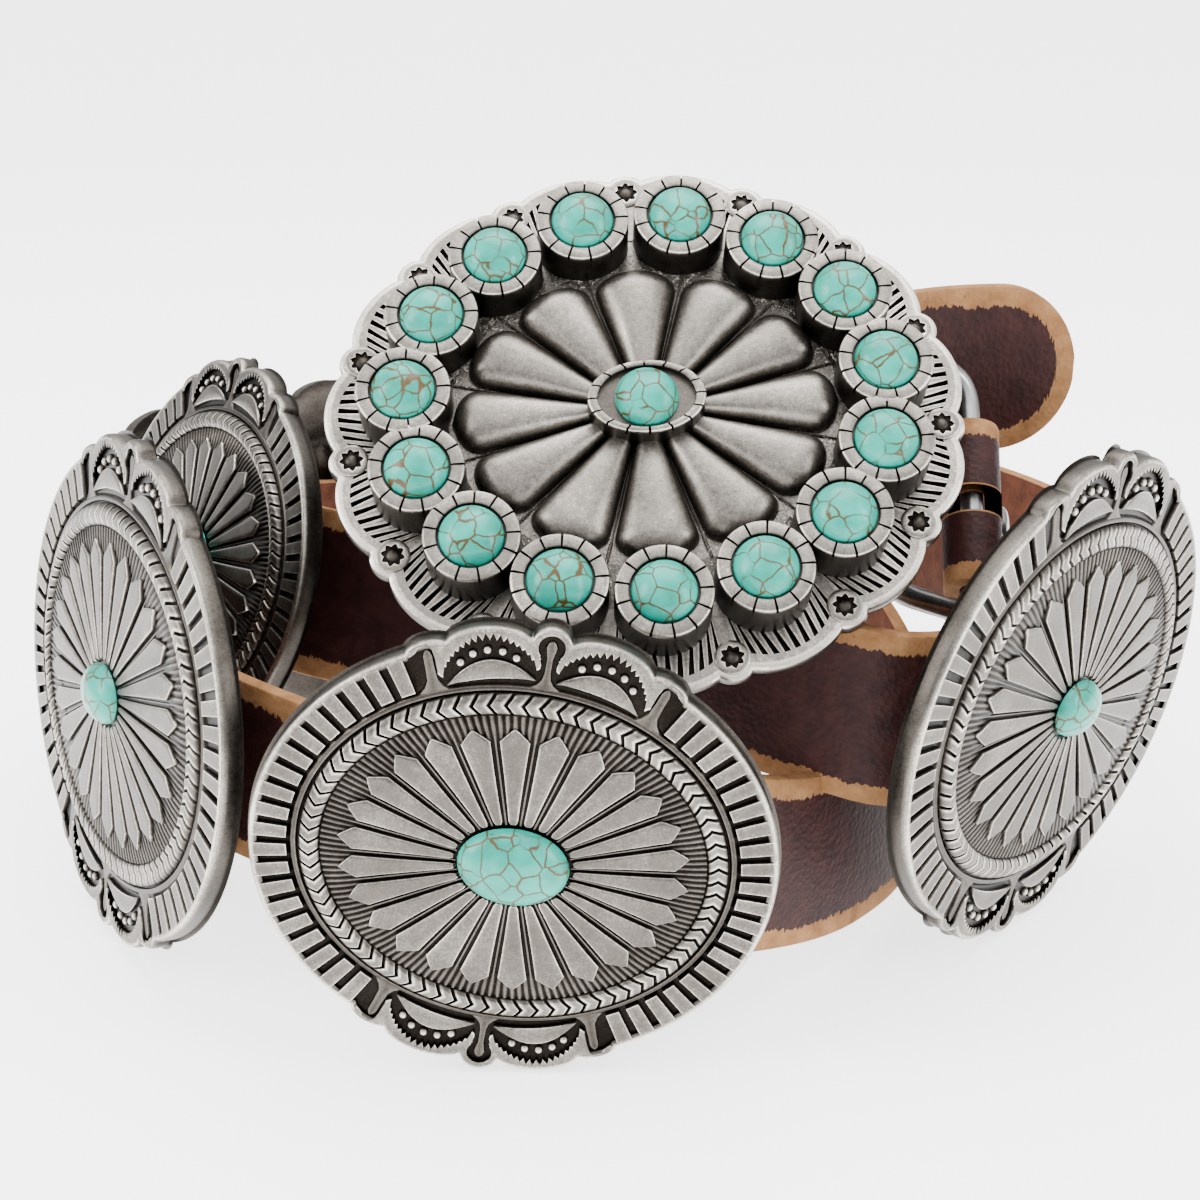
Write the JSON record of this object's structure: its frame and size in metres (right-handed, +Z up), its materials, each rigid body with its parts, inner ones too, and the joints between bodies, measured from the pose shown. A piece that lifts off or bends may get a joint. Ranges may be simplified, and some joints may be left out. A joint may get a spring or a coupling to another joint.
{
  "type": "concho belt",
  "caption": "Leather belt coiled on its edge, strung with cast oval scalloped conchos, and a large oval buckle set with round turquoise stones and joined by a wire bail.",
  "frame": {"origin": "middle of the bounding box on the surface the coiled belt stands on", "axes": "X along the coil's width from left to right as the front sees it, Y away from the front, Z up; the strap stands on its edge in the coil"},
  "size_m": [0.24, 0.222, 0.1387],
  "materials": {
    "leather": "dark reddish brown painted face with raw tan edges",
    "cast_silver": "antique silver casting, dark in its recesses and bright on its edges",
    "wire": "plain silver-coloured wire",
    "turquoise": "polished blue-green cabochon with a brown vein web"
  },
  "bodies": {
    "root": {"strap": "leather", "fold_rivet_1": "wire", "fold_rivet_2": "wire", "concho_1": "cast_silver", "concho_stone_1": "turquoise", "concho_2": "cast_silver", "concho_stone_2": "turquoise", "concho_3": "cast_silver", "concho_stone_3": "turquoise", "concho_4": "cast_silver", "concho_stone_4": "turquoise", "concho_5": "cast_silver", "concho_stone_5": "turquoise", "concho_6": "cast_silver", "concho_stone_6": "turquoise", "buckle": "cast_silver", "buckle_stone_01": "turquoise", "buckle_stone_02": "turquoise", "buckle_stone_03": "turquoise", "buckle_stone_04": "turquoise", "buckle_stone_05": "turquoise", "buckle_stone_06": "turquoise", "buckle_stone_07": "turquoise", "buckle_stone_08": "turquoise", "buckle_stone_09": "turquoise", "buckle_stone_10": "turquoise", "buckle_stone_11": "turquoise", "buckle_stone_12": "turquoise", "buckle_stone_13": "turquoise", "buckle_stone_14": "turquoise", "buckle_stone_15": "turquoise", "buckle_centre_stone": "turquoise", "bail": "wire"}
  },
  "joints": []
}
